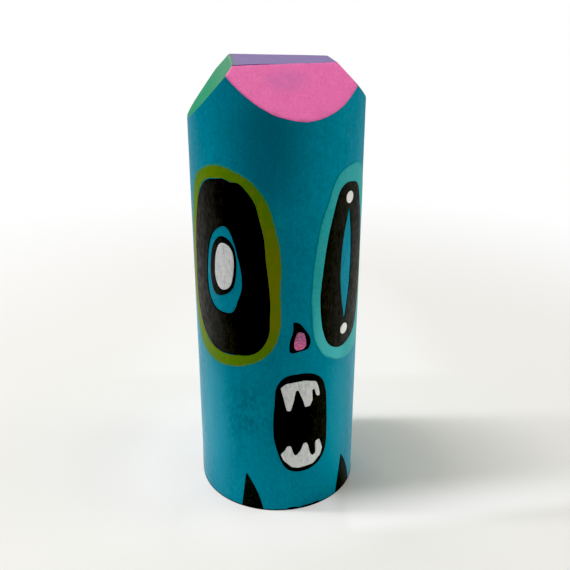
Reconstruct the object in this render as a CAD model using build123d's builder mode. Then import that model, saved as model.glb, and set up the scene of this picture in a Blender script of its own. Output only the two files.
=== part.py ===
"""A hand-painted monster figure made from a length of round wooden stock.

The block stands on its sawn base. Its top is cut by four uneven flat bevels that leave a small
skewed flat top. Every painted area is its own thin film of paint on the wood, or on the film below
it. The origin is the centre of the base, +Z is up, and the mouth faces -Y. Places on the round side
are given as (arc, height): the arc length from the front line, positive to the right of somebody
who looks at the face, and the height above the base, both in millimetres.
"""

from build123d import *
from math import cos, radians, sin
import os

os.makedirs("parts", exist_ok=True)

# ---- Driving dimensions -------------------------------------------------------------------------

wood_diameter = 50.5  # two-inch round stock, which runs a little under its nominal size
total_height = 135.5  # painted base to painted flat top
base_coat = 0.15  # thickness of the colours that are brushed on the wood
detail_coat = 0.10  # thickness of each film that is painted over another one
paint_gap = 0.08  # bare base coat left between an eye and the ring around it

# Each bevel: the direction it faces, how far its upper edge is from the axis, and its slope
bevels = {
    "front": (-90.0, 15.0, 52.0),
    "left": (166.4, 12.8, 50.8),
    "right": (-13.8, 15.2, 46.4),
    "back": (60.5, 8.9, 44.8),
}

lip_height = 0.3  # black paint that wraps up from the base onto the side

# The spikes of black paint above the base: (arc of the foot's middle, foot width, tip height)
spikes = [
    (-16.3, 7.2, 13.5),
    (17.5, 9.0, 14.2),
    (48.6, 7.6, 13.0),
    (80.2, 8.0, 13.6),
    (112.0, 7.4, 12.8),
]
spike_rounding = 0.35
spike_lean = 1.9  # how far a tip stands left of the middle of its foot
spike_swell = 0.9  # how far a spike's right edge bulges outwards

# ---- Sizes that follow from them ----------------------------------------------------------------

wood_radius = wood_diameter / 2
coat_radius = wood_radius + base_coat
detail_radius = coat_radius + detail_coat
reach = 1.2 * coat_radius  # from the axis to well outside every film
detail_limit = 0.85 * total_height  # every detail stays on the round side, below the bevels
wood_top = Plane.XY.offset(total_height - base_coat)


def bevel_plane(facing, edge_distance, slope, depth=0.0):
    """The plane of a painted bevel, or of the surface at some depth below it."""
    across = Vector(cos(radians(facing)), sin(radians(facing)), 0)
    normal = across * sin(radians(slope)) + Vector(0, 0, cos(radians(slope)))
    edge = across * edge_distance + Vector(0, 0, total_height)
    return Plane(origin=edge - normal * depth, z_dir=normal)


painted_planes = {side: bevel_plane(*cut) for side, cut in bevels.items()}
wood_planes = {side: bevel_plane(*cut, depth=base_coat) for side, cut in bevels.items()}


def side_plane(arc):
    """The upright plane through the axis that faces outwards at an arc length."""
    turn = arc / coat_radius
    return Plane(origin=(0, 0, 0), x_dir=(cos(turn), sin(turn), 0), z_dir=(sin(turn), -cos(turn), 0))


def flatten(points, middle):
    """Points (arc, height) on the round side, as seen on the side plane at the middle arc."""
    return [(coat_radius * sin((arc - middle) / coat_radius), height) for arc, height in points]


def grow(points, amount):
    """The same outline with each point moved away from the average point by the amount."""
    corners = [Vector(arc, height) for arc, height in points]
    average = sum(corners, Vector()) / len(corners)
    grown = [corner + (corner - average).normalized() * amount for corner in corners]
    return [(corner.X, corner.Y) for corner in grown]


def smooth_area(points, middle, mode=Mode.ADD):
    """A face with one smooth closed edge through the points, in the current sketch."""
    with BuildLine() as edge:
        Spline(*flatten(points, middle), periodic=True)
    make_face(edge.edges(), mode=mode)


def film(profile, layer):
    """Carry a flat profile out to a layer of paint on the round side."""
    with BuildPart() as painted:
        extrude(profile, amount=reach)
        add(layer, mode=Mode.INTERSECT)
    return painted.part


def tube(inner_radius, thickness, bottom, height):
    """A layer of paint all the way round the side."""
    with BuildPart() as layer:
        with BuildSketch(Plane.XY.offset(bottom)):
            Circle(inner_radius + thickness)
            Circle(inner_radius, mode=Mode.SUBTRACT)
        extrude(amount=height)
    return layer.part


def finish(part, name):
    """Label a finished piece and write it."""
    part.label = name
    export_step(part, f"parts/{name}.step")


first_layer = tube(coat_radius, detail_coat, 0, detail_limit)
second_layer = tube(detail_radius, detail_coat, 0, detail_limit)

# ---- The wooden block ---------------------------------------------------------------------------

with BuildPart() as wood_block:
    with BuildSketch(Plane.XY.offset(base_coat)):
        Circle(wood_radius)
    extrude(amount=total_height - 2 * base_coat)
    for cut in wood_planes.values():
        split(bisect_by=cut, keep=Keep.BOTTOM)

finish(wood_block.part, "wood_block")

# ---- Teal coat on the whole round side ----------------------------------------------------------

with BuildPart() as teal_base_coat:
    add(tube(wood_radius, base_coat, base_coat, total_height))
    for cut in wood_planes.values():
        split(bisect_by=cut, keep=Keep.BOTTOM)

finish(teal_base_coat.part, "teal_base_coat")

# ---- The coats on the flat top and on the four bevels -------------------------------------------

with BuildPart() as painted_block:
    with BuildSketch():
        Circle(coat_radius)
    extrude(amount=total_height)
    for cut in painted_planes.values():
        split(bisect_by=cut, keep=Keep.BOTTOM)

with BuildPart() as top_lilac_paint:
    add(painted_block.part)
    split(bisect_by=wood_top, keep=Keep.TOP)

finish(top_lilac_paint.part, "top_lilac_paint")


def bevel_paint(side, painted_before):
    """The film on one bevel, up to the edges of the films that are already there."""
    with BuildPart() as paint:
        add(painted_block.part)
        split(bisect_by=wood_top, keep=Keep.BOTTOM)
        split(bisect_by=wood_planes[side], keep=Keep.TOP)
        for neighbour in painted_before:
            split(bisect_by=wood_planes[neighbour], keep=Keep.BOTTOM)
    return paint.part


finish(bevel_paint("front", []), "front_bevel_pink_paint")
finish(bevel_paint("left", ["front"]), "left_bevel_green_paint")
finish(bevel_paint("right", ["front", "left"]), "right_bevel_green_paint")
finish(bevel_paint("back", ["front", "left", "right"]), "back_bevel_pink_paint")

# ---- Left eye: olive ring, black egg with a bare iris, black pupil, white pupil ------------------

left_eye_middle = -24.5
left_ring_edge = [
    (-23.5, 110.3),
    (-18.6, 109.0),
    (-14.0, 106.2),
    (-10.4, 101.2),
    (-8.3, 94.5),
    (-6.5, 84.0),
    (-6.7, 75.0),
    (-6.7, 66.0),
    (-8.4, 58.2),
    (-14.2, 52.5),
    (-20.5, 50.2),
    (-26.1, 49.5),
    (-35.6, 52.6),
    (-40.6, 62.5),
    (-41.6, 80.0),
    (-39.4, 97.0),
    (-35.6, 106.0),
    (-30.0, 109.3),
]
left_eye_edge = [
    (-31.6, 104.1),
    (-29.0, 105.5),
    (-26.0, 106.1),
    (-23.0, 106.3),
    (-20.8, 105.7),
    (-19.3, 105.9),
    (-16.4, 104.0),
    (-13.9, 100.3),
    (-13.0, 97.0),
    (-12.0, 93.0),
    (-11.1, 85.0),
    (-10.0, 73.0),
    (-10.1, 65.0),
    (-11.5, 59.0),
    (-14.5, 55.6),
    (-20.0, 54.2),
    (-27.8, 54.2),
    (-33.6, 57.8),
    (-37.4, 64.0),
    (-38.8, 76.0),
    (-38.1, 86.0),
    (-36.4, 94.4),
    (-34.0, 100.8),
]
left_iris_edge = [
    (-25.2, 92.6),
    (-22.8, 92.9),
    (-20.9, 90.0),
    (-19.4, 85.4),
    (-18.5, 80.6),
    (-18.4, 75.4),
    (-19.9, 70.8),
    (-21.5, 67.7),
    (-24.4, 67.0),
    (-28.4, 68.3),
    (-30.4, 71.6),
    (-31.1, 78.0),
    (-30.0, 85.4),
    (-27.9, 90.4),
]
left_pupil_edge = [
    (-26.7, 88.9),
    (-23.8, 90.1),
    (-21.4, 88.8),
    (-19.9, 84.6),
    (-20.1, 79.0),
    (-21.6, 74.5),
    (-24.5, 72.4),
    (-27.4, 72.1),
    (-29.1, 74.8),
    (-29.5, 80.0),
    (-28.5, 85.7),
]
white_pupil_edge = [
    (-24.0, 88.2),
    (-21.8, 87.4),
    (-20.5, 83.2),
    (-21.0, 78.4),
    (-22.9, 74.7),
    (-25.2, 74.1),
    (-26.9, 76.0),
    (-27.4, 81.0),
    (-26.3, 86.2),
]

with BuildSketch(side_plane(left_eye_middle)) as left_ring_profile:
    smooth_area(left_ring_edge, left_eye_middle)
    smooth_area(grow(left_eye_edge, paint_gap), left_eye_middle, mode=Mode.SUBTRACT)

with BuildSketch(side_plane(left_eye_middle)) as left_eye_profile:
    smooth_area(left_eye_edge, left_eye_middle)
    smooth_area(left_iris_edge, left_eye_middle, mode=Mode.SUBTRACT)

with BuildSketch(side_plane(left_eye_middle)) as left_pupil_profile:
    smooth_area(left_pupil_edge, left_eye_middle)

with BuildSketch(side_plane(left_eye_middle)) as white_pupil_profile:
    smooth_area(white_pupil_edge, left_eye_middle)

finish(film(left_ring_profile.sketch, first_layer), "left_eye_olive_ring")
finish(film(left_eye_profile.sketch, first_layer), "left_eye_black")
finish(film(left_pupil_profile.sketch, first_layer), "left_eye_pupil_black")
finish(film(white_pupil_profile.sketch, second_layer), "left_eye_pupil_white")

# ---- Right eye: aqua ring, black shape with a bare slit, two white dots --------------------------

right_eye_middle = 14.5
right_ring_edge = [
    (20.5, 108.8),
    (15.2, 109.1),
    (10.2, 107.1),
    (7.3, 102.0),
    (4.4, 95.0),
    (2.7, 86.0),
    (1.7, 76.0),
    (1.7, 68.0),
    (3.0, 59.0),
    (6.7, 52.8),
    (11.6, 50.1),
    (18.5, 49.2),
    (25.0, 52.4),
    (29.0, 63.0),
    (30.2, 80.0),
    (28.4, 96.0),
    (25.2, 105.6),
]
right_eye_edge = [
    (11.8, 103.4),
    (14.4, 104.3),
    (17.2, 104.0),
    (19.6, 103.2),
    (21.4, 101.0),
    (23.0, 96.4),
    (24.4, 91.0),
    (26.0, 82.0),
    (25.6, 70.0),
    (23.6, 62.0),
    (20.4, 56.4),
    (16.2, 54.4),
    (11.2, 54.4),
    (7.7, 56.8),
    (5.6, 61.8),
    (4.6, 70.0),
    (5.2, 79.5),
    (6.5, 88.0),
    (8.3, 95.8),
    (9.8, 100.2),
]
slit_top = (15.4, 96.8)
slit_left = (12.2, 79.0)
slit_right = (17.2, 80.5)
slit_bottom = (14.7, 63.2)
dot_places = [(15.4, 99.8), (14.5, 59.6)]
dot_diameter = 3.6

with BuildSketch(side_plane(right_eye_middle)) as right_ring_profile:
    smooth_area(right_ring_edge, right_eye_middle)
    smooth_area(grow(right_eye_edge, paint_gap), right_eye_middle, mode=Mode.SUBTRACT)

with BuildSketch(side_plane(right_eye_middle)) as right_eye_profile:
    smooth_area(right_eye_edge, right_eye_middle)
    with BuildLine():
        Spline(*flatten([slit_top, slit_left, slit_bottom], right_eye_middle))
        Spline(*flatten([slit_bottom, slit_right, slit_top], right_eye_middle))
    make_face(mode=Mode.SUBTRACT)

with BuildSketch(side_plane(right_eye_middle)) as dots_profile:
    with Locations(*flatten(dot_places, right_eye_middle)):
        Circle(dot_diameter / 2)

finish(film(right_ring_profile.sketch, first_layer), "right_eye_aqua_ring")
finish(film(right_eye_profile.sketch, first_layer), "right_eye_black")
finish(film(dots_profile.sketch, second_layer), "right_eye_white_dots")

# ---- Nose: a black rounded triangle with a pink middle ------------------------------------------

nose_middle = -1.6
nose_edge = [
    (-3.1, 65.7),
    (-2.2, 65.5),
    (-0.2, 63.4),
    (1.4, 60.8),
    (1.8, 58.8),
    (0.9, 56.9),
    (-1.4, 56.3),
    (-4.3, 56.1),
    (-4.7, 57.6),
    (-4.2, 60.8),
    (-3.5, 64.2),
]
nose_pink_edge = [
    (-1.7, 62.6),
    (-0.6, 62.2),
    (0.3, 59.6),
    (0.1, 57.6),
    (-1.4, 56.8),
    (-2.8, 56.9),
    (-3.4, 58.4),
    (-2.9, 61.2),
]

with BuildSketch(side_plane(nose_middle)) as nose_profile:
    smooth_area(nose_edge, nose_middle)

with BuildSketch(side_plane(nose_middle)) as nose_pink_profile:
    smooth_area(nose_pink_edge, nose_middle)

finish(film(nose_profile.sketch, first_layer), "nose_black")
finish(film(nose_pink_profile.sketch, second_layer), "nose_pink")

# ---- Mouth: a tall black opening with two rows of pointed teeth ----------------------------------

mouth_middle = -0.9
mouth_edge = [
    (-1.6, 48.8),
    (2.6, 48.2),
    (5.6, 46.2),
    (7.2, 42.6),
    (7.9, 37.0),
    (8.2, 30.0),
    (8.1, 23.0),
    (7.3, 19.2),
    (5.3, 16.3),
    (2.2, 14.7),
    (-1.4, 14.3),
    (-4.8, 15.5),
    (-7.3, 19.4),
    (-9.0, 25.4),
    (-9.5, 32.5),
    (-9.0, 40.0),
    (-8.2, 45.4),
    (-5.2, 48.4),
]
tooth_rounding = 0.35
upper_teeth_corners = [
    (-7.3, 44.6),
    (-5.7, 46.0),
    (-2.8, 46.3),
    (0.1, 46.5),
    (3.9, 45.5),
    (4.7, 43.6),
    (5.4, 40.5),
    (4.7, 39.9),
    (3.8, 40.8),
    (3.3, 42.9),
    (2.6, 43.2),
    (2.8, 39.3),
    (2.0, 37.4),
    (0.2, 37.2),
    (-0.2, 39.2),
    (-1.2, 41.7),
    (-1.9, 43.5),
    (-2.6, 43.4),
    (-3.2, 40.0),
    (-4.1, 36.5),
    (-5.4, 36.6),
    (-6.4, 41.0),
]
lower_teeth_corners = [
    (-7.3, 21.3),
    (-5.8, 22.9),
    (-5.3, 24.2),
    (-4.1, 24.2),
    (-3.6, 22.2),
    (-2.7, 20.2),
    (-1.0, 22.1),
    (-0.1, 24.6),
    (0.9, 24.8),
    (1.6, 23.2),
    (2.1, 20.5),
    (3.0, 19.2),
    (4.0, 20.1),
    (3.9, 24.3),
    (5.4, 24.9),
    (6.5, 21.2),
    (5.8, 18.8),
    (3.2, 16.3),
    (-1.7, 15.8),
    (-3.9, 16.4),
    (-6.3, 19.0),
]


def teeth(corners):
    """A row of teeth with softly rounded corners, on the mouth's plane."""
    with BuildSketch(side_plane(mouth_middle)) as row:
        with BuildLine():
            Polyline(*flatten(corners, mouth_middle), close=True)
        make_face()
        fillet(row.vertices(), tooth_rounding)
    return row.sketch


with BuildSketch(side_plane(mouth_middle)) as mouth_profile:
    smooth_area(mouth_edge, mouth_middle)

finish(film(mouth_profile.sketch, first_layer), "mouth_black")
finish(film(teeth(upper_teeth_corners), second_layer), "upper_teeth_white")
finish(film(teeth(lower_teeth_corners), second_layer), "lower_teeth_white")

# ---- Black base: a film under the block that wraps up over the lower edge -------------------------

lump_places = [(-3.4, 4.0), (1.6, 5.0), (4.8, 3.0), (34.0, 3.4), (-62.0, 4.2)]  # (arc, width)
lump_rise = 0.6

with BuildPart() as base_black_paint:
    with BuildSketch():
        Circle(detail_radius)
    extrude(amount=base_coat)
    add(tube(coat_radius, detail_coat, 0, lip_height))
    for arc, width in lump_places:
        with BuildSketch(side_plane(arc)) as lump:
            with Locations((0, lip_height)):
                Ellipse(width / 2, lump_rise)
        add(film(lump.sketch, first_layer))

finish(base_black_paint.part, "base_black_paint")

# ---- Spikes of black paint that rise from the base ------------------------------------------------


def spike(arc, foot_width, tip_height):
    """One pointed area of paint, with its tip left of the middle of its foot."""
    with BuildSketch(side_plane(arc)) as profile:
        with BuildLine():
            tip = Vector(-spike_lean, tip_height)
            right_foot = Vector(foot_width / 2, lip_height)
            Polyline(tip, (-foot_width / 2, lip_height), right_foot)
            ThreePointArc(right_foot, (right_foot + tip) / 2 + Vector(spike_swell, 0), tip)
        make_face()
        fillet(profile.vertices().sort_by(Axis.Z)[-1], spike_rounding)
    return film(profile.sketch, first_layer)


with BuildPart() as base_spikes:
    for arc, foot_width, tip_height in spikes:
        add(spike(arc, foot_width, tip_height))

finish(base_spikes.part, "base_spikes")
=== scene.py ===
"""Looks for the painted wooden block figure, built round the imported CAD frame.

Each coat of paint is rebuilt as a thin closed film with a rounded rim and a hand-painted edge. All
the films lie on one surface: the CAD block with softened arrises and the slight unevenness of sawn
and brushed wood. Lengths are in metres. On the round side a place is (arc, height): the arc length
from the front line, positive towards +X, and the height above the base.
"""

import math
from itertools import product

import bpy
import numpy as np
from mathutils import Matrix, Vector, geometry


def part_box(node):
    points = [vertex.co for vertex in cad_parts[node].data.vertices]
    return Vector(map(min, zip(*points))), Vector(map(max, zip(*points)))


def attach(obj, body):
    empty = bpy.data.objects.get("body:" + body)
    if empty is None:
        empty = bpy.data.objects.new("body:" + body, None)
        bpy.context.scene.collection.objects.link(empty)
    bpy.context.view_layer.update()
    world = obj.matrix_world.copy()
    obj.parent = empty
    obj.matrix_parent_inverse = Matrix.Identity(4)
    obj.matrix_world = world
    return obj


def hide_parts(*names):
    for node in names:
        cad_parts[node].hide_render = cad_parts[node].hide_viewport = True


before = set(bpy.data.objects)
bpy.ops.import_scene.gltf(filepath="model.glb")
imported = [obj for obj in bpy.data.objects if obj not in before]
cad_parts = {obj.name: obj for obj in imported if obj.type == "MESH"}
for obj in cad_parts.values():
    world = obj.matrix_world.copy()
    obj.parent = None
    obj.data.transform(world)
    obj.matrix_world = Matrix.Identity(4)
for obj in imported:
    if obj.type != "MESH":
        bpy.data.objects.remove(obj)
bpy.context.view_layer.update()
mm = 0.001

# ---- Sizes from the frame -----------------------------------------------------------------------

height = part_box("top_lilac_paint")[1].z
wood_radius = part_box("wood_block")[1].x
coat_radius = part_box("teal_base_coat")[1].x
base_coat = coat_radius - wood_radius
detail_coat = 0.10 * mm

arris_radius = 0.32 * mm  # how far the sawn edges are worn round
rim_width = 0.18 * mm  # how far in from its edge a film reaches its full thickness
BEVELS = {
    "front": "front_bevel_pink_paint",
    "left": "left_bevel_green_paint",
    "right": "right_bevel_green_paint",
    "back": "back_bevel_pink_paint",
}


def node_mesh(node):
    """Welded corner points of a CAD node and its triangles, as index triples."""
    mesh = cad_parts[node].data
    mesh.calc_loop_triangles()
    points = np.empty(len(mesh.vertices) * 3)
    mesh.vertices.foreach_get("co", points)
    triangles = np.empty(len(mesh.loop_triangles) * 3, np.int64)
    mesh.loop_triangles.foreach_get("vertices", triangles)
    points = points.reshape(-1, 3)
    _, first, same = np.unique(np.round(points / (0.002 * mm)), axis=0, return_index=True, return_inverse=True)
    return points[first], same.ravel()[triangles].reshape(-1, 3)


def outer_plane(node):
    """Unit normal and offset of the largest upward face of a CAD film, its painted face."""
    points, triangles = node_mesh(node)
    a, b, c = (points[triangles[:, k]] for k in range(3))
    cross = np.cross(b - a, c - a)
    area = np.linalg.norm(cross, axis=1)
    cross, area, a = cross[area > 0], area[area > 0], a[area > 0]
    normals = cross / area[:, None]
    best = normals[np.argmax(area * (normals[:, 2] > 0.2))]
    facing = normals @ best > 0.999
    normal = (cross[facing].sum(0)) / np.linalg.norm(cross[facing].sum(0))
    return normal, float((a[facing] @ normal).max())


bevel_planes = {side: outer_plane(node) for side, node in BEVELS.items()}

# ---- Smooth repeatable noise --------------------------------------------------------------------


def lattice_value(cell, seed):
    """A repeatable number from -1 to 1 for each whole-numbered cell."""
    mixed = cell[:, 0] * 374761393 + cell[:, 1] * 668265263 + cell[:, 2] * 2147483647 + seed * 974634777
    mixed = (mixed ^ (mixed >> 13)) * 1274126177 & 0xFFFFFFFF
    mixed = (mixed ^ (mixed >> 16)) * 2246822519 & 0xFFFFFFFF
    return (mixed ^ (mixed >> 15)) / 2147483647.5 - 1.0


def noise(points, sizes, seed):
    """Smooth noise from -1 to 1, with features of the given size along x, y and z."""
    scaled = points / np.asarray(sizes) + 1000.0
    cell = np.floor(scaled).astype(np.int64)
    part = scaled - cell
    part = part ** 3 * (part * (part * 6 - 15) + 10)
    total = np.zeros(len(points))
    for corner in product((0, 1), repeat=3):
        share = np.prod(np.where(corner, part, 1 - part), axis=1)
        total += share * lattice_value(cell + np.array(corner), seed)
    return total


# ---- The surface of the painted block -----------------------------------------------------------


def soft_max(a, b):
    """The larger of two distances, with the corner between them rounded off."""
    corner = np.hypot(np.maximum(a + arris_radius, 0), np.maximum(b + arris_radius, 0))
    return np.minimum(np.maximum(a, b), -arris_radius) + corner


def block_distance(points):
    """How far outside the painted block each point is."""
    distance = np.hypot(points[:, 0], points[:, 1]) - coat_radius
    for normal, offset in bevel_planes.values():
        distance = soft_max(distance, points @ normal - offset)
    distance = soft_max(distance, points[:, 2] - height)
    return soft_max(distance, -points[:, 2])


def gradient(points):
    """The direction straight out of the block at each point."""
    step = 0.01 * mm
    slope = np.empty_like(points)
    for axis in range(3):
        shift = np.zeros(3)
        shift[axis] = step
        slope[:, axis] = block_distance(points + shift) - block_distance(points - shift)
    return slope / np.linalg.norm(slope, axis=1)[:, None]


def relief(points):
    """Height of the brushed coat over the ideal surface: slow unevenness and streaks along the grain."""
    slow = noise(points, (9 * mm, 9 * mm, 14 * mm), 1)
    streak = noise(points, (1.5 * mm, 1.5 * mm, 24 * mm), 2)
    fine = noise(points, (0.9 * mm, 0.9 * mm, 9 * mm), 3)
    return 0.030 * mm * slow + 0.010 * mm * streak + 0.005 * mm * fine


def on_block(points):
    """The nearest points of the softened surface and the directions out of it."""
    points = np.array(points, float)
    for _ in range(4):
        points -= gradient(points) * block_distance(points)[:, None]
    return points, gradient(points)


def raised(points, rise):
    """Points on the brushed surface, each raised by its own amount of paint."""
    ground, out = on_block(points)
    return ground + out * (relief(ground) + rise)[:, None]


def from_side(flat, radius=None):
    """Points of space for (arc, height) places on the round side."""
    radius = radius or coat_radius
    turn = flat[:, 0] / coat_radius
    return np.column_stack((radius * np.sin(turn), -radius * np.cos(turn), flat[:, 1]))


def side_top(arc, planes, radius, top):
    """Height at which the round side meets the bevels, for each arc length."""
    turn = arc / coat_radius
    x, y = radius * np.sin(turn), -radius * np.cos(turn)
    heights = [(offset - normal[0] * x - normal[1] * y) / normal[2] for normal, offset in planes]
    return np.minimum(np.min(heights, axis=0), top)


# ---- Outlines -----------------------------------------------------------------------------------


def face_loops(node, on_face):
    """Closed edge loops of the part of a CAD node whose corner points pass the test."""
    points, triangles = node_mesh(node)
    inside = triangles[on_face(points)[triangles].all(axis=1)]
    counts = {}
    for a, b, c in inside:
        for edge in ((a, b), (b, c), (c, a)):
            key = (min(edge), max(edge))
            counts[key] = counts.get(key, 0) + 1
    following = {}
    for (a, b), count in counts.items():
        if count == 1:
            following.setdefault(a, []).append(b)
            following.setdefault(b, []).append(a)
    loops = []
    while following:
        start = min(following)
        loop, last, here = [start], None, start
        while True:
            ahead = [p for p in following.pop(here) if p != last]
            last, here = here, ahead[0]
            if here == start or here not in following:
                break
            loop.append(here)
        loops.append(points[loop])
    return loops


def side_loops(node):
    """Outlines of a film on the round side, as (arc, height) places."""
    outermost = np.hypot(*node_mesh(node)[0][:, :2].T).max()
    loops = face_loops(node, lambda p: np.hypot(p[:, 0], p[:, 1]) > outermost - 0.02 * mm)
    return [
        np.column_stack((np.unwrap(np.arctan2(loop[:, 0], -loop[:, 1])) * coat_radius, loop[:, 2]))
        for loop in loops
    ]


def evenly(loop, step):
    """The closed loop again, as points an even step apart."""
    closed = np.vstack((loop, loop[:1]))
    run = np.concatenate(([0], np.cumsum(np.linalg.norm(np.diff(closed, axis=0), axis=1))))
    count = max(12, round(run[-1] / step))
    places = np.arange(count) * run[-1] / count
    return np.column_stack([np.interp(places, run, closed[:, k]) for k in range(2)])


def outward(loop):
    """Unit directions square to a closed loop, to its right: outwards if it runs anticlockwise."""
    ahead = np.roll(loop, -1, axis=0) - np.roll(loop, 1, axis=0)
    ahead /= np.maximum(np.linalg.norm(ahead, axis=1), 1e-12)[:, None]
    return np.column_stack((ahead[:, 1], -ahead[:, 0]))


def loop_area(loop):
    """Area inside a loop, positive if it runs anticlockwise."""
    x, y = loop.T
    return 0.5 * np.sum(x * np.roll(y, -1) - np.roll(x, -1) * y)


def inside_loops(points, loops):
    """Whether each point is inside an odd number of the loops."""
    odd = np.zeros(len(points), bool)
    for loop in loops:
        x, y = loop.T
        x2, y2 = np.roll(x, -1), np.roll(y, -1)
        for first in range(0, len(points), 4000):
            px, py = (points[first:first + 4000, k][:, None] for k in range(2))
            spans = (y > py) != (y2 > py)
            with np.errstate(divide="ignore", invalid="ignore"):
                crossing = x + (py - y) / (y2 - y) * (x2 - x)
            odd[first:first + 4000] ^= (spans & (px < crossing)).sum(axis=1) % 2 == 1
    return odd


def edge_distance(points, loops):
    """Distance from each point to the nearest place on the loops."""
    nearest = np.full(len(points), np.inf)
    for loop in loops:
        along = np.roll(loop, -1, axis=0) - loop
        length = np.maximum((along ** 2).sum(axis=1), 1e-18)
        for first in range(0, len(points), 2000):
            offset = points[first:first + 2000, None] - loop
            share = np.clip((offset * along).sum(axis=2) / length, 0, 1)
            gap = np.linalg.norm(offset - share[:, :, None] * along, axis=2).min(axis=1)
            nearest[first:first + 2000] = np.minimum(nearest[first:first + 2000], gap)
    return nearest


def arranged(loops, step):
    """Even loops with the film always on their left: outer edges anticlockwise, holes clockwise."""
    even = [evenly(loop, step) for loop in loops]
    result = []
    for index, loop in enumerate(even):
        others = even[:index] + even[index + 1:]
        is_hole = bool(others) and inside_loops(loop[:1], others)[0]
        if (loop_area(loop) < 0) != is_hole:
            loop = loop[::-1]
        result.append(loop)
    return result


def rounded(loop, length):
    """The even loop with corners tighter than about the length worn away, as wet paint draws them in."""
    step = np.linalg.norm(loop[1] - loop[0])
    for _ in range(max(0, round((length / step) ** 2))):
        loop = 0.5 * loop + 0.25 * (np.roll(loop, 1, axis=0) + np.roll(loop, -1, axis=0))
    return loop


def hand_painted(loops, seed, wander, spread=0.0, hole_spread=None, corner=0.0):
    """Loops moved out by the spread, and in and out a little as a brush or marker wanders.

    hole_spread gives for the places round a hole how far the paint goes into it.
    """
    moved = []
    for loop in loops:
        is_hole = loop_area(loop) < 0
        loop = rounded(loop, corner)
        places = np.column_stack((loop, np.zeros(len(loop))))
        slow = noise(places, (4.5 * mm,) * 3, seed)
        quick = noise(places, (1.3 * mm,) * 3, seed + 1)
        reach = hole_spread(loop) if is_hole and hole_spread else spread
        shift = reach + wander * (0.75 * slow + 0.25 * quick)
        moved.append(loop + outward(loop) * np.broadcast_to(shift, len(loop))[:, None])
    return moved


# ---- Films --------------------------------------------------------------------------------------


def triangulate(loops, step, spacing):
    """Points and triangles that fill the loops, close together near the edges: (points, triangles)."""
    rings = []
    for depth in (0.3 * rim_width, 0.65 * rim_width, rim_width, 2 * rim_width, 4 * rim_width):
        for loop in loops:
            ring = loop - outward(loop) * depth
            if depth > rim_width:
                ring = ring[::2]
            rings.append(ring[edge_distance(ring, loops) > 0.93 * depth])
    lowest, highest = (f([f(loop, axis=0) for loop in loops], axis=0) for f in (np.min, np.max))
    rows = np.arange(lowest[1], highest[1], spacing * math.sqrt(0.75))
    grid = [
        np.column_stack((np.arange(lowest[0] + (row % 2) * spacing / 2, highest[0], spacing), ))
        for row in range(len(rows))
    ]
    grid = np.vstack([np.column_stack((x, np.full(len(x), y))) for x, y in zip(grid, rows)])
    grid = grid[inside_loops(grid, loops)]
    grid = grid[edge_distance(grid, loops) > 4 * rim_width + 0.4 * spacing]
    inner = np.vstack(rings + [grid])
    inner = inner[inside_loops(inner, loops)]
    points = np.vstack(loops + [inner])
    edges, first = [], 0
    for loop in loops:
        count = len(loop)
        edges += [(first + k, first + (k + 1) % count) for k in range(count)]
        first += count
    unit = 1000.0
    found = geometry.delaunay_2d_cdt([Vector(p * unit) for p in points], edges, [], 1, 1e-6, False)
    points = np.array([tuple(p) for p in found[0]]) / unit
    triangles = np.array(found[2])
    centres = points[triangles].mean(axis=1)
    triangles = triangles[inside_loops(centres, loops)]
    used, triangles = np.unique(triangles, return_inverse=True)
    return points[used], triangles.reshape(-1, 3)


def rim_profile(distance, width=rim_width):
    """0 at a film's edge, 1 where it has its full thickness."""
    share = np.clip(distance / width, 0, 1)
    return np.sqrt(1 - (1 - share) ** 2)


def make_object(name, points, faces, attributes=None):
    """A smooth-shaded mesh object with optional numbers on its points."""
    mesh = bpy.data.meshes.new(name)
    mesh.from_pydata([tuple(p) for p in points], [], [tuple(f) for f in faces])
    mesh.validate()
    mesh.shade_smooth()
    for key, values in (attributes or {}).items():
        layer = mesh.attributes.new(key, "FLOAT", "POINT")
        layer.data.foreach_set("value", np.asarray(values, np.float32))
    piece = bpy.data.objects.new(name, mesh)
    bpy.context.scene.collection.objects.link(piece)
    return piece


def closed_film(name, flat, triangles, loops, place, thickness, sunk, dome=0.0):
    """A film that covers the triangles: its painted top, and its underside sunk into the layer below.

    place maps flat points to points of space near the block. The attribute rim holds each point's
    distance from the film's outer edge, in millimetres.
    """
    distance = edge_distance(flat, loops)
    rise = thickness * rim_profile(distance) - 0.25 * sunk * (distance < 1e-7)
    if dome:
        rise = rise + dome * rim_profile(distance, distance.max())
    top = raised(place(flat), rise)
    under = raised(place(flat), np.full(len(flat), -sunk))
    count = len(flat)
    edges = {}
    for a, b, c in triangles:
        for edge in ((a, b), (b, c), (c, a)):
            edges[edge] = True
    wall = []
    for a, b in edges:
        if (b, a) not in edges:
            wall += [(b, a, a + count), (b, a + count, b + count)]
    faces = np.vstack((triangles, triangles[:, ::-1] + count, np.array(wall)))
    rim = edge_distance(flat, [loop for loop in loops if loop_area(loop) > 0])
    return make_object(name, np.vstack((top, under)), faces, {"rim": np.tile(rim / mm, 2)})


def side_film(name, node, seed, thickness=detail_coat, lift=0.0, step=0.25 * mm, spacing=0.7 * mm,
              wander=0.10 * mm, spread=0.0, hole_spread=None, corner=0.0, dome=0.0):
    """A film on the round side with the outline of a CAD node."""
    loops = arranged(side_loops(node), step)
    loops = hand_painted(loops, seed, wander, spread, hole_spread, corner)
    flat, triangles = triangulate(loops, step, spacing)
    piece = closed_film(name, flat, triangles, loops, from_side, thickness + lift, 0.03 * mm, dome)
    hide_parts(node)
    return piece


def plane_axes(normal):
    """Two directions in a plane: level, and straight up its slope (along +Y on a level plane)."""
    level = np.cross((0, 0, 1), normal)
    level = np.array((1.0, 0, 0)) if np.linalg.norm(level) < 1e-6 else level / np.linalg.norm(level)
    return level, np.cross(normal, level)


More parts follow.
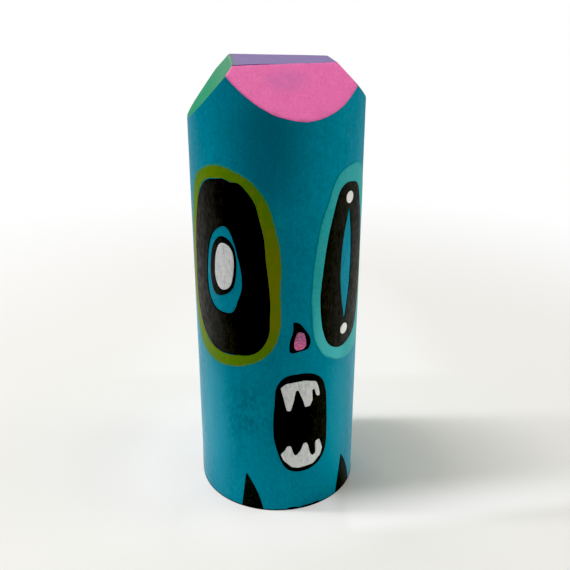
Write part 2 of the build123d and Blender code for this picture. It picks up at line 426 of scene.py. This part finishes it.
def plane_film(name, node, seed, thickness, spread, wander=0.18 * mm):
    """The coat on a bevel or on the flat top, carried a little way over the arrises round it."""
    normal, offset = outer_plane(node)
    level, upward = plane_axes(normal)
    loops = [
        np.column_stack((loop @ level, loop @ upward))
        for loop in face_loops(node, lambda p: abs(p @ normal - offset) < 0.01 * mm)
    ]
    step = 0.25 * mm
    loops = hand_painted(arranged(loops, step), seed, wander, spread)
    flat, triangles = triangulate(loops, step, 0.7 * mm)

    def place(places):
        return places[:, :1] * level + places[:, 1:] * upward + normal * offset

    piece = closed_film(name, flat, triangles, loops, place, thickness, 0.9 * base_coat)
    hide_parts(node)
    return piece


def grid_faces(rows, columns, first=0):
    """Quads of a grid whose columns close into a ring. Points run row by row, from the bottom up."""
    faces = []
    for row in range(rows - 1):
        for column in range(columns):
            here, beside = first + row * columns + column, first + row * columns + (column + 1) % columns
            faces.append((here, beside, beside + columns, here + columns))
    return faces


COLUMNS = 400
arcs = np.arange(COLUMNS) * math.tau * coat_radius / COLUMNS


def teal_coat():
    """The coat on the round side: a closed tube with a scalloped top that follows the bevels."""
    low = base_coat
    painted_top = side_top(arcs, bevel_planes.values(), coat_radius, height)
    wood_planes = [(normal, offset - base_coat) for normal, offset in bevel_planes.values()]
    wood_top = side_top(arcs, wood_planes, wood_radius, height - base_coat)
    near_edge = np.array([0, 0.08, 0.17, 0.28, 0.42, 0.6, 0.85, 1.2, 1.7, 2.4, 3.3]) * mm
    rows = [low + depth for depth in near_edge]
    rows = [np.full(COLUMNS, row) for row in rows]
    lower, upper = rows[-1], painted_top - near_edge[-1]
    steps = 120
    rows += [lower + (upper - lower) * k / steps for k in range(1, steps)]
    rows += [painted_top - depth for depth in near_edge[::-1]]
    outer = np.vstack([raised(from_side(np.column_stack((arcs, row))), np.zeros(COLUMNS)) for row in rows])
    inner_rows = [low + (wood_top - low) * share for share in (0, 0.5, 1)]
    inner = np.vstack([from_side(np.column_stack((arcs, row)), wood_radius) for row in inner_rows])
    faces = grid_faces(len(rows), COLUMNS)
    faces += [face[::-1] for face in grid_faces(len(inner_rows), COLUMNS, len(outer))]
    for column in range(COLUMNS):
        beside = (column + 1) % COLUMNS
        top, inner_top = len(outer) - COLUMNS, len(outer) + len(inner) - COLUMNS
        faces.append((top + column, top + beside, inner_top + beside, inner_top + column))
        faces.append((beside, column, len(outer) + column, len(outer) + beside))
    piece = make_object("teal_side_coat", np.vstack((outer, inner)), faces)
    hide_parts("teal_base_coat")
    return piece


def base_paint():
    """The black film under the block, which wraps up over the lower arris with an uneven edge."""
    loops = side_loops("base_black_paint")
    edge = max(loops, key=lambda loop: loop[:, 1].mean())
    edge = edge[np.argsort(edge[:, 0])]
    turn = math.tau * coat_radius
    edge = np.vstack((edge - (turn, 0), edge, edge + (turn, 0)))
    lip = np.interp(arcs, edge[:, 0], edge[:, 1])
    places = from_side(np.column_stack((arcs, lip)))
    lip = lip + 0.12 * mm * noise(places, (2.2 * mm,) * 3, 41) + 0.06 * mm * noise(places, (0.8 * mm,) * 3, 42)
    lip = np.maximum(lip, 0.40 * mm)
    rings = []
    for radius in (0.02, 0.3, 0.6, 0.85, 0.95, 0.98, 0.99, 0.997):
        ring = from_side(np.column_stack((arcs, np.zeros(COLUMNS))), coat_radius * radius)
        rings.append(raised(ring, np.zeros(COLUMNS)))
    for share in (0.0, 0.2, 0.4, 0.6, 0.75, 0.88, 0.96, 1.0):
        ring = from_side(np.column_stack((arcs, lip * share)))
        rise = 0.9 * detail_coat * rim_profile(lip * (1 - share))
        rings.append(raised(ring, rise))
    ring = from_side(np.column_stack((arcs, lip)))
    rings.append(raised(ring, np.full(COLUMNS, -0.04 * mm)))
    for radius in (coat_radius - 0.1 * mm, 0.9 * coat_radius, 0.02 * coat_radius):
        rings.append(from_side(np.column_stack((arcs, np.full(COLUMNS, base_coat))), radius))
    points = np.vstack(rings)
    points[:, 2] = np.maximum(points[:, 2], 0)
    faces = grid_faces(len(rings), COLUMNS)
    last = (len(rings) - 1) * COLUMNS
    faces.append(tuple(range(COLUMNS))[::-1])
    faces.append(tuple(last + column for column in range(COLUMNS)))
    piece = make_object("base_black_film", points, faces)
    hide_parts("base_black_paint")
    return piece


def olive_under_black(loop):
    """How far the olive ring runs in under the black: not at all where bare teal shows between them."""
    arc, z = loop.T / mm
    at_top = np.clip((z - 97.0) / 3.0, 0, 1) * np.clip((-19.0 - arc) / 2.0, 0, 1)
    at_bottom = np.clip((58.5 - z) / 2.0, 0, 1) * np.clip((-20.0 - arc) / 2.0, 0, 1)
    return (0.30 - 0.42 * np.maximum(at_top, at_bottom)) * mm


pieces = {
    "teal": [teal_coat()],
    "ink": [
        base_paint(),
        side_film("base_spikes_film", "base_spikes", 21, wander=0.07 * mm),
    ],
    "black": [
        side_film("left_eye_black_film", "left_eye_black", 11, lift=0.03 * mm, step=0.3 * mm,
                  wander=0.15 * mm),
        side_film("left_pupil_black_film", "left_eye_pupil_black", 13, lift=0.02 * mm),
        side_film("right_eye_black_film", "right_eye_black", 15, lift=0.03 * mm, step=0.3 * mm,
                  wander=0.13 * mm),
        side_film("nose_black_film", "nose_black", 17, wander=0.08 * mm),
        side_film("mouth_black_film", "mouth_black", 19, step=0.3 * mm),
    ],
    "olive": [side_film("left_eye_olive_film", "left_eye_olive_ring", 23, step=0.35 * mm,
                        wander=0.2 * mm, hole_spread=olive_under_black)],
    "aqua": [side_film("right_eye_aqua_film", "right_eye_aqua_ring", 25, step=0.35 * mm,
                       wander=0.2 * mm, hole_spread=lambda loop: 0.3 * mm)],
    "white": [
        side_film("left_pupil_white_film", "left_eye_pupil_white", 27, thickness=0.22 * mm),
        side_film("upper_teeth_film", "upper_teeth_white", 31, thickness=0.2 * mm, wander=0.08 * mm,
                  step=0.15 * mm, spacing=0.4 * mm, corner=0.45 * mm),
        side_film("lower_teeth_film", "lower_teeth_white", 33, thickness=0.2 * mm, wander=0.08 * mm,
                  step=0.15 * mm, spacing=0.4 * mm, corner=0.45 * mm),
    ],
    "dot": [side_film("right_eye_dots", "right_eye_white_dots", 29, thickness=0.16 * mm, dome=0.14 * mm,
                      wander=0.05 * mm, spacing=0.4 * mm)],
    "rose": [side_film("nose_pink_film", "nose_pink", 35, thickness=0.2 * mm, wander=0.06 * mm,
                       step=0.15 * mm, spacing=0.4 * mm)],
    "pink": [
        plane_film("front_bevel_film", "front_bevel_pink_paint", 51, 0.05 * mm, 0.16 * mm),
        plane_film("back_bevel_film", "back_bevel_pink_paint", 53, 0.05 * mm, 0.16 * mm),
    ],
    "green": [
        plane_film("left_bevel_film", "left_bevel_green_paint", 55, 0.03 * mm, 0.14 * mm),
        plane_film("right_bevel_film", "right_bevel_green_paint", 57, 0.03 * mm, 0.14 * mm),
    ],
    "lilac": [plane_film("top_lilac_film", "top_lilac_paint", 59, 0.08 * mm, 0.18 * mm)],
}
# ---- Finishes -----------------------------------------------------------------------------------


class Finish:
    """A node material in the making. Lengths given to its methods are in millimetres."""

    def __init__(self, name):
        self.material = bpy.data.materials.new(name)
        self.material.use_nodes = True
        self.tree = self.material.node_tree
        self.shader = self.tree.nodes["Principled BSDF"]
        self.place = self.node("ShaderNodeTexCoord").outputs["Object"]

    def node(self, kind, settings=None, **inputs):
        """A node with its settings and its inputs, each a number, a colour or another output."""
        made = self.tree.nodes.new(kind)
        for key, value in (settings or {}).items():
            setattr(made, key, value)
        for key, value in inputs.items():
            self.feed(made.inputs[key.replace("_", " ")], value)
        return made

    def feed(self, socket, value):
        """Link an output to a socket, or set the socket's own value."""
        if isinstance(value, bpy.types.NodeSocket):
            self.tree.links.new(value, socket)
        elif socket.type == "RGBA":
            socket.default_value = (*value, 1)
        else:
            socket.default_value = value

    def math(self, operation, a, b=0.0):
        made = self.node("ShaderNodeMath", {"operation": operation})
        self.feed(made.inputs[0], a)
        self.feed(made.inputs[1], b)
        return made.outputs[0]

    def fade(self, value, start, end, low=0.0, high=1.0):
        """Low where the value is at the start, high at the end, with a smooth change between."""
        made = self.node(
            "ShaderNodeMapRange", {"interpolation_type": "SMOOTHSTEP"},
            Value=value, From_Min=start, From_Max=end, To_Min=low, To_Max=high,
        )
        return made.outputs[0]

    def blend(self, share, a, b):
        """Colour a turning into colour b."""
        made = self.node("ShaderNodeMix", {"data_type": "RGBA"})
        for index, value in ((0, share), (6, a), (7, b)):
            self.feed(made.inputs[index], value)
        return made.outputs[2]

    def noise(self, sizes, seed, detail=2.0):
        """Noise from 0 to 1 with features of the given size along x, y and z."""
        moved = self.node(
            "ShaderNodeMapping", Vector=self.place, Location=(seed * 3.7, seed * 1.3, seed * 5.1),
            Scale=[1 / (size * mm) for size in sizes],
        )
        made = self.node("ShaderNodeTexNoise", Vector=moved.outputs[0], Scale=1.0, Detail=detail)
        return made.outputs["Fac"]

    def spot(self, centre, sizes):
        """1 at a place in the block's space, fading to 0 at the given half sizes from it."""
        moved = self.node("ShaderNodeVectorMath", {"operation": "SUBTRACT"})
        self.feed(moved.inputs[0], self.place)
        self.feed(moved.inputs[1], centre)
        scaled = self.node("ShaderNodeVectorMath", {"operation": "DIVIDE"})
        self.feed(scaled.inputs[0], moved.outputs[0])
        self.feed(scaled.inputs[1], [size * mm for size in sizes])
        length = self.node("ShaderNodeVectorMath", {"operation": "LENGTH"})
        self.feed(length.inputs[0], scaled.outputs[0])
        return self.fade(length.outputs["Value"], 1.0, 0.25)

    def towards(self, direction):
        """How far each place is from the axis in a direction, in millimetres."""
        made = self.node("ShaderNodeVectorMath", {"operation": "DOT_PRODUCT"})
        self.feed(made.inputs[0], self.place)
        self.feed(made.inputs[1], [part / mm for part in direction])
        return made.outputs["Value"]

    def rim(self):
        """Distance from the film's edge in millimetres."""
        return self.node("ShaderNodeAttribute", {"attribute_name": "rim"}).outputs["Fac"]

    def finish(self, colour, roughness, height, rise, gloss=0.3):
        """Set the shader: colour, roughness, gloss and a bump of the given rise in millimetres."""
        bump = self.node("ShaderNodeBump", Height=height, Distance=rise * mm, Strength=1.0)
        for name, value in (
            ("Base Color", colour), ("Roughness", roughness), ("Normal", bump.outputs[0]),
            ("Specular IOR Level", gloss),
        ):
            self.feed(self.shader.inputs[name], value)
        return self.material


def brushed(finish, deep, colour, pale, seed, patch=6.0, streak=0.6, specks=0.75):
    """Paint brushed along the grain: its colour, and a height for the bump, both as outputs."""
    strokes = finish.noise((streak, streak, 11.0), seed)
    patches = finish.noise((patch, patch, 1.5 * patch), seed + 1)
    fleck = finish.noise((0.28, 0.28, 0.8), seed + 2, detail=1.0)
    tone = finish.math("ADD", finish.math("MULTIPLY", strokes, 0.4), finish.math("MULTIPLY", patches, 0.6))
    shade = finish.blend(finish.fade(tone, 0.28, 0.5), deep, colour)
    shade = finish.blend(finish.fade(tone, 0.5, 0.72), shade, pale)
    speck = finish.noise((0.5, 0.5, 0.8), seed + 3, detail=1.0)
    shade = finish.blend(finish.fade(speck, 0.47, 0.30, 0.0, specks), shade, deep)
    shade = finish.blend(finish.fade(speck, 0.53, 0.70, 0.0, specks), shade, pale)
    height = finish.math("ADD", finish.math("MULTIPLY", strokes, 0.5), finish.math("MULTIPLY", fleck, 0.5))
    return shade, height, fleck


def side_place(arc, z):
    """A point of space on the round side, from millimetres of arc and height."""
    return tuple(from_side(np.array([[arc * mm, z * mm]]))[0])


def teal_acrylic():
    """Teal brushed down the block: streaks, blotches where it covers thinly, fine pale flecks, and four soft patches
    of painted light and shade.
    """
    finish = Finish("teal_acrylic")
    shade, height, fleck = brushed(
        finish, (0.002, 0.225, 0.331), (0.003, 0.272, 0.391), (0.007, 0.311, 0.435), 1, patch=8.0, specks=0.55,
    )
    blotch = finish.noise((0.9, 0.9, 1.5), 5, detail=3.0)
    shade = finish.blend(finish.fade(blotch, 0.52, 0.34, 0.0, 0.30), shade, (0.002, 0.190, 0.275))
    shade = finish.blend(finish.fade(blotch, 0.54, 0.70, 0.0, 0.25), shade, (0.014, 0.335, 0.455))
    # Painted light and shade: darker at the top middle and low on the right edge, paler low on the left and right of
    # the front.
    for arc, z, sizes, share, colour in (
        (-11, 115, (14, 9, 22), 0.60, (0.001, 0.175, 0.270)),
        (24, 6, (8, 8, 24), 0.40, (0.001, 0.190, 0.280)),
        (-30, 28, (9, 10, 36), 0.75, (0.009, 0.345, 0.485)),
        (12, 28, (8, 8, 36), 0.60, (0.009, 0.345, 0.475)),
    ):
        painted_light_and_shade = finish.math("MULTIPLY", finish.spot(side_place(arc, z), sizes), share)
        shade = finish.blend(painted_light_and_shade, shade, colour)
    thin = finish.noise((1.3, 1.3, 2.4), 9)
    worn = finish.math("MULTIPLY", finish.spot(side_place(-17, 34), (11, 11, 17)), finish.fade(thin, 0.45, 0.62))
    shade = finish.blend(finish.math("MULTIPLY", worn, 0.65), shade, (0.004, 0.170, 0.250))
    shade = finish.blend(finish.fade(fleck, 0.60, 0.74, 0.0, 0.35), shade, (0.02, 0.36, 0.49))
    uneven = finish.math("ADD", finish.math("MULTIPLY", height, 0.6), finish.math("MULTIPLY", blotch, 0.4))
    return finish.finish(shade, finish.fade(thin, 0.3, 0.7, 0.46, 0.56), uneven, 0.055, gloss=0.14)


def black_acrylic():
    finish = Finish("black_acrylic")
    shade, height, fleck = brushed(
        finish, (0.013, 0.013, 0.0115), (0.018, 0.018, 0.016), (0.024, 0.023, 0.020), 21, patch=4.0,
    )
    shade = finish.blend(finish.fade(fleck, 0.6, 0.8, 0.0, 0.5), shade, (0.034, 0.032, 0.027))
    blotch = finish.noise((1.2, 1.2, 2.2), 25, detail=3.0)
    uneven = finish.math("ADD", finish.math("MULTIPLY", height, 0.4), finish.math("MULTIPLY", blotch, 0.6))
    return finish.finish(shade, finish.fade(blotch, 0.35, 0.65, 0.46, 0.62), uneven, 0.09, gloss=0.115)


def ink_acrylic():
    """The thin dull black of the spikes and of the underside."""
    finish = Finish("ink_acrylic")
    shade, height, _ = brushed(
        finish, (0.020, 0.021, 0.019), (0.025, 0.026, 0.023), (0.032, 0.033, 0.029), 27, patch=3.0,
    )
    return finish.finish(shade, 0.6, height, 0.05, gloss=0.05)


def ragged_edge(finish, colour, seed, start=0.25, end=1.25):
    """The colour of a brushed ring, which thins out to the teal below along its outer edge."""
    uneven = finish.math("ADD", finish.rim(), finish.math("MULTIPLY", finish.noise((0.7, 0.7, 1.2), seed), 0.7))
    return finish.blend(finish.fade(uneven, start, end), (0.006, 0.27, 0.33), colour)


def olive_acrylic():
    """Olive, browner halfway up the eye than at its top and bottom."""
    finish = Finish("olive_acrylic")
    shade, height, _ = brushed(
        finish, (0.106, 0.228, 0.011), (0.130, 0.256, 0.013), (0.155, 0.274, 0.017), 31, patch=4.5,
    )
    apart = finish.node("ShaderNodeSeparateXYZ", Vector=finish.place)
    off_middle = finish.math("ABSOLUTE", finish.math("SUBTRACT", apart.outputs["Z"], 0.077))
    brown = finish.math("MULTIPLY", finish.fade(off_middle, 0.026, 0.008), finish.noise((3.0, 3.0, 5.0), 36))
    shade = finish.blend(finish.math("MULTIPLY", brown, 1.7), shade, (0.215, 0.238, 0.009))
    patch = finish.fade(finish.noise((2.4, 2.4, 3.4), 38), 0.52, 0.68, 0.0, 0.55)
    shade = finish.blend(patch, shade, (0.235, 0.246, 0.011))
    return finish.finish(ragged_edge(finish, shade, 34), 0.6, height, 0.03, gloss=0.12)


def aqua_acrylic():
    finish = Finish("aqua_acrylic")
    shade, height, _ = brushed(
        finish, (0.030, 0.388, 0.415), (0.040, 0.422, 0.440), (0.066, 0.450, 0.460), 41, patch=4.5,
    )
    low = finish.math("MULTIPLY", finish.spot(side_place(8, 56), (10, 10, 26)), 1.0)
    shade = finish.blend(low, shade, (0.078, 0.555, 0.580))
    return finish.finish(ragged_edge(finish, shade, 44), 0.55, height, 0.03, gloss=0.15)


def white_acrylic():
    """White that covers unevenly: thin streaks and the edges let some of the black through."""
    finish = Finish("white_acrylic")
    shade, height, _ = brushed(
        finish, (0.66, 0.69, 0.70), (0.81, 0.83, 0.82), (0.90, 0.90, 0.88), 51, patch=2.2, streak=0.45,
    )
    thin = finish.noise((0.8, 0.8, 2.4), 55)
    shade = finish.blend(finish.fade(thin, 0.46, 0.70, 0.0, 0.55), shade, (0.52, 0.56, 0.60))
    shade = finish.blend(finish.fade(finish.rim(), 0.0, 0.2, 0.35, 0.0), shade, (0.45, 0.50, 0.52))
    return finish.finish(shade, 0.5, height, 0.05)


def dot_acrylic():
    """Thick white, dabbed on in one touch."""
    finish = Finish("dot_acrylic")
    fleck = finish.noise((0.5, 0.5, 0.5), 58)
    return finish.finish(finish.blend(fleck, (0.90, 0.90, 0.87), (0.95, 0.95, 0.93)), 0.45, fleck, 0.03)


def rose_acrylic():
    """Pink laid thinly over black: dull at the top of the nose, brighter strokes below."""
    finish = Finish("rose_acrylic")
    low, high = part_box("nose_pink")
    apart = finish.node("ShaderNodeSeparateXYZ", Vector=finish.place)
    strokes = finish.noise((1.2, 1.2, 0.45), 61, detail=3.0)
    down = finish.fade(apart.outputs["Z"], high.z - 1.0 * mm, low.z + 1.0 * mm)
    shade = finish.blend(down, (0.40, 0.145, 0.29), (0.80, 0.160, 0.40))
    shade = finish.blend(finish.fade(strokes, 0.5, 0.66, 0.0, 0.7), shade, (0.92, 0.33, 0.55))
    shade = finish.blend(finish.fade(strokes, 0.5, 0.34, 0.0, 0.6), shade, (0.42, 0.07, 0.20))
    shade = finish.blend(finish.fade(finish.rim(), 0.0, 0.25, 0.5, 0.0), shade, (0.25, 0.05, 0.14))
    return finish.finish(shade, 0.5, strokes, 0.04)


def pink_acrylic():
    finish = Finish("pink_acrylic")
    shade, height, _ = brushed(
        finish, (0.78, 0.152, 0.400), (0.86, 0.175, 0.443), (0.91, 0.200, 0.478), 71, patch=3.0,
    )
    low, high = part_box("front_bevel_pink_paint")
    middle = low.lerp(high, 0.5)
    smudge = finish.spot((middle.x - 2 * mm, low.y + 0.70 * (high.y - low.y), low.z + 0.70 * (high.z - low.z)),
                         (9.0, 4.5, 4.5))
    cloud = finish.fade(finish.noise((3.0, 3.0, 2.0), 75, detail=4.0), 0.3, 0.7, 0.45, 1.0)
    smudge = finish.math("MULTIPLY", smudge, cloud)
    shade = finish.blend(finish.math("MULTIPLY", smudge, 0.50), shade, (0.54, 0.160, 0.41))
    return finish.finish(shade, 0.52, height, 0.03)


def green_acrylic():
    """Green, greyer towards the flat top and rubbed along its edges."""
    finish = Finish("green_acrylic")
    shade, height, _ = brushed(
        finish, (0.004, 0.240, 0.110), (0.010, 0.262, 0.125), (0.022, 0.280, 0.140), 81, patch=3.5,
    )
    apart = finish.node("ShaderNodeSeparateXYZ", Vector=finish.place)
    near_top = finish.fade(apart.outputs["Z"], height_of_top() - 9.0 * mm, height_of_top())
    shade = finish.blend(near_top, shade, (0.075, 0.275, 0.150))
    worn = finish.math("MULTIPLY", finish.fade(finish.rim(), 0.7, 0.1), finish.noise((1.0, 1.0, 1.0), 84))
    shade = finish.blend(finish.math("MULTIPLY", worn, 0.9), shade, (0.16, 0.34, 0.26))
    return finish.finish(shade, 0.75, height, 0.03, gloss=0.08)


def lilac_acrylic():
    finish = Finish("lilac_acrylic")
    shade, height, _ = brushed(
        finish, (0.230, 0.178, 0.355), (0.253, 0.198, 0.382), (0.272, 0.217, 0.405), 91, patch=3.5,
    )
    normal, offset = bevel_planes["left"]
    level = Vector((normal[0], normal[1], 0)).normalized()
    edge = (offset - normal[2] * height_of_top()) / math.hypot(normal[0], normal[1]) / mm
    smear = finish.fade(finish.towards(level), edge - 1.5, edge - 0.3)
    shade = finish.blend(finish.math("MULTIPLY", smear, 0.8), shade, (0.15, 0.24, 0.18))
    corner = finish.spot((-0.52 * coat_radius, -0.59 * coat_radius, height_of_top()), (11.0, 3.5, 3.0))
    line = finish.math("MULTIPLY", corner, finish.fade(finish.rim(), 0.75, 0.3))
    shade = finish.blend(line, shade, (0.09, 0.02, 0.12))
    return finish.finish(shade, 0.52, height, 0.03)


def height_of_top():
    """Height of the flat top."""
    return height


def bare_wood():
    """Growth rings round the block's axis, and fine grain along it."""
    finish = Finish("bare_wood")
    bent = finish.noise((14.0, 14.0, 60.0), 101)
    apart = finish.node("ShaderNodeSeparateXYZ", Vector=finish.place)
    across = finish.math("ADD", finish.math("MULTIPLY", apart.outputs["X"], 900.0), finish.math("MULTIPLY", bent, 5.0))
    rings = finish.math("SINE", across)
    grain = finish.noise((0.4, 0.4, 8.0), 103)
    shade = finish.blend(finish.fade(rings, -1.0, 1.0), (0.52, 0.36, 0.20), (0.62, 0.46, 0.28))
    shade = finish.blend(finish.fade(grain, 0.4, 0.7, 0.0, 0.4), shade, (0.40, 0.26, 0.14))
    return finish.finish(shade, 0.7, grain, 0.04)


FINISHES = {
    "teal": teal_acrylic, "black": black_acrylic, "olive": olive_acrylic, "aqua": aqua_acrylic,
    "white": white_acrylic, "rose": rose_acrylic, "pink": pink_acrylic, "green": green_acrylic,
    "lilac": lilac_acrylic, "dot": dot_acrylic, "ink": ink_acrylic,
}
for colour, films in pieces.items():
    material = FINISHES[colour]()
    for piece in films:
        piece.data.materials.append(material)
        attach(piece, "root")
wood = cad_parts["wood_block"]
wood.data.materials.clear()
wood.data.materials.append(bare_wood())

# ---- Stage --------------------------------------------------------------------------------------


camera_turn = math.radians(-18.5)  # from the front line, so that the left eye and green bevel show


def disc(name, radius, corners=96):
    """A flat round face at the floor's level."""
    mesh = bpy.data.meshes.new(name)
    turns = [k * math.tau / corners for k in range(corners)]
    mesh.from_pydata([(radius * math.cos(t), radius * math.sin(t), 0) for t in turns], [], [range(corners)])
    made = bpy.data.objects.new(name, mesh)
    bpy.context.scene.collection.objects.link(made)
    return made


def facing_share(finish, distance, bearing, none, full):
    """1 for floor at a bearing from the camera's side, fading round the block to 0; limits are cosines."""
    bearing = math.radians(bearing) + camera_turn
    away = finish.node("ShaderNodeVectorMath", {"operation": "DOT_PRODUCT"})
    finish.feed(away.inputs[0], finish.place)
    finish.feed(away.inputs[1], (math.sin(bearing), -math.cos(bearing), 0))
    return finish.fade(finish.math("DIVIDE", away.outputs["Value"], distance), none, full)


def floor_glow(finish, distance):
    """How strongly the bright floor round the block lights it, over what the lamps alone would do.

    For each bearing from the camera's side: the strength, and the distances where it starts to fade
    and is gone.
    """
    total = 0.0
    for bearing, strength, near, far in ((-143, 0.90, 0.16, 0.38), (-53, 0.35, 0.04, 0.12), (127, 0.55, 0.14, 0.22)):
        ring = finish.fade(distance, far, near, 0.0, strength)
        share = finish.math("MULTIPLY", facing_share(finish, distance, bearing, 0.2, 0.8), ring)
        total = finish.math("ADD", share, total)
    return total


def floor_patch(finish, strength, bearing, nearer, across):
    """Painted light: extra brightness of a patch of floor, up to the strength, turned by the bearing to the camera's
    right.

    Its limits towards the camera and to the right are each four places, in millimetres: where it
    starts, where it is full, where it begins to fade and where it is gone.
    """
    share = strength
    bearing = math.radians(bearing) + camera_turn
    towards_camera = (math.sin(bearing), -math.cos(bearing), 0)
    to_the_right = (math.cos(bearing), math.sin(bearing), 0)
    for direction, (start, full, fading, gone) in ((towards_camera, nearer), (to_the_right, across)):
        value = finish.towards(direction)
        inside = finish.math("MINIMUM", finish.fade(value, start, full), finish.fade(value, gone, fading))
        share = finish.math("MULTIPLY", inside, share)
    return share


def floor_light(finish, distance):
    """Painted light: how far the camera's view of the paper is lifted towards white, standing in for light from its
    surroundings, which the lamps alone don't give.
    """
    # painted light along the near edge of the block's cast shadow, and on the floor behind the block
    beside_shadow = floor_patch(finish, 0.60, 9, (15, 34, 34.5, 43), (8, 20, 60, 160))
    behind = floor_patch(finish, 0.30, 0, (-900, -800, -66, -55), (-80, -40, 50, 90))
    total = finish.math("MAXIMUM", beside_shadow, behind)
    # painted light round the base to the left and in front, which takes out the block's shade on the floor there
    for bearing, strength, near, far, none, full in (
        (-100, 0.50, 0.040, 0.070, 0.35, 0.90), (-20, 0.40, 0.032, 0.055, 0.20, 0.60),
    ):
        ring = finish.fade(distance, far, near, 0.0, strength)
        ring = finish.math("MULTIPLY", facing_share(finish, distance, bearing, none, full), ring)
        total = finish.math("MAXIMUM", total, ring)
    return total


def floor_paper():
    """Matte white paper. The camera sees it run out into a white background all round, and painted light lifts it
    towards white in patches near the block.
    """
    finish = Finish("floor_paper")
    length = finish.node("ShaderNodeVectorMath", {"operation": "LENGTH"})
    finish.feed(length.inputs[0], finish.place)
    distance = length.outputs["Value"]
    grain = finish.noise((0.5, 0.5, 0.5), 201)
    shade = finish.blend(grain, (0.803, 0.788, 0.755), (0.813, 0.798, 0.765))
    finish.finish(shade, 0.9, grain, 0.01, gloss=0.0)
    seen = finish.node("ShaderNodeLightPath").outputs["Is Camera Ray"]
    white = finish.node("ShaderNodeEmission", Color=(1, 1, 1), Strength=1.0)
    # share of white seen by the camera: the backdrop further out, and painted light in patches near the block
    backdrop_and_painted_light = finish.math("MAXIMUM", finish.fade(distance, 0.10, 0.36), floor_light(finish, distance))
    backdrop_and_painted_light = finish.math("MULTIPLY", backdrop_and_painted_light, seen)
    backdrop_and_light_mix = finish.node("ShaderNodeMixShader", Fac=backdrop_and_painted_light)
    finish.tree.links.new(finish.shader.outputs[0], backdrop_and_light_mix.inputs[1])
    finish.tree.links.new(white.outputs[0], backdrop_and_light_mix.inputs[2])
    unseen = finish.math("SUBTRACT", 1.0, seen)
    glow = finish.node(
        "ShaderNodeEmission", Color=(1, 1, 1), Strength=finish.math("MULTIPLY", floor_glow(finish, distance), unseen),
    )
    both = finish.node("ShaderNodeAddShader")
    finish.tree.links.new(backdrop_and_light_mix.outputs[0], both.inputs[0])
    finish.tree.links.new(glow.outputs[0], both.inputs[1])
    finish.tree.links.new(both.outputs[0], finish.tree.nodes["Material Output"].inputs["Surface"])
    return finish.material


floor = disc("floor", 6.0)
floor.data.materials.append(floor_paper())

world = bpy.data.worlds.new("room")
world.use_nodes = True
background = world.node_tree.nodes["Background"]
background.inputs["Color"].default_value = (1, 1, 1, 1)
camera_ray = world.node_tree.nodes.new("ShaderNodeLightPath")
world.node_tree.links.new(camera_ray.outputs["Is Camera Ray"], background.inputs["Strength"])
bpy.context.scene.world = world

view = bpy.context.scene.view_settings
view.view_transform = "Standard"
view.use_curve_mapping = True
view.curve_mapping.black_level = (0.02, 0.02, 0.02)  # the dark end of a contrasty studio picture
view.curve_mapping.update()

camera_distance = 8.42 * coat_radius
camera_height = 6.14 * coat_radius
pitch, yaw, roll = math.radians(22.6), math.radians(0.69), math.radians(0.09)

forward = Vector((math.sin(yaw) * math.cos(pitch), math.cos(yaw) * math.cos(pitch), -math.sin(pitch)))
right = Vector((math.cos(yaw), -math.sin(yaw), 0))
up = right.cross(forward)
right, up = (math.cos(roll) * right + math.sin(roll) * up, math.cos(roll) * up - math.sin(roll) * right)
turn = Matrix.Rotation(camera_turn, 4, "Z")
facing = Matrix((right, up, -forward)).transposed().to_4x4()
camera_data = bpy.data.cameras.new("camera")
camera_data.lens = 46.55
camera_data.clip_start = 0.01
camera = bpy.data.objects.new("camera", camera_data)
bpy.context.scene.collection.objects.link(camera)
camera.matrix_world = turn @ Matrix.Translation((0, -camera_distance, camera_height)) @ facing
bpy.context.scene.camera = camera


def softbox(name, bearing, elevation, distance, size, watts, tint):
    """A panel of light that faces the block, at a bearing from the camera's side, positive to its right."""
    data = bpy.data.lights.new(name, "AREA")
    data.shape = "RECTANGLE"
    data.size, data.size_y = size
    data.energy = watts
    data.color = tint
    bearing, elevation = math.radians(bearing), math.radians(elevation)
    level = math.cos(elevation)
    out = Vector((math.sin(bearing) * level, -math.cos(bearing) * level, math.sin(elevation)))
    lamp = bpy.data.objects.new(name, data)
    bpy.context.scene.collection.objects.link(lamp)
    place = Matrix.Translation(out * distance + Vector((0, 0, 0.05)))
    lamp.matrix_world = turn @ place @ out.to_track_quat("Z", "Y").to_matrix().to_4x4()
    lamp.visible_camera = False


daylight, warm = (1.0, 1.0, 1.06), (1.0, 1.0, 0.95)
softbox("tube_above", -90, 85, 1.0, (0.12, 0.90), 3.98, warm)
softbox("softbox_above", 0, 89.9, 1.0, (0.50, 0.50), 2.17, warm)
softbox("window_upper", -90, 70, 0.9, (0.05, 0.30), 2.40, daylight)
softbox("window_lower", -90, 50, 0.9, (0.05, 0.30), 1.50, daylight)
softbox("window_wide", -90, 52, 0.9, (0.50, 0.50), 0.50, daylight)
softbox("panel_right", 90, 15, 0.9, (0.35, 0.45), 1.95, warm)
softbox("panel_front_right", 60, 15, 0.9, (0.35, 0.45), 0.85, warm)
softbox("panel_behind_left", -150, 15, 0.9, (0.35, 0.45), 1.51, warm)
softbox("panel_behind_right", 145, 15, 0.9, (0.35, 0.45), 0.35, warm)
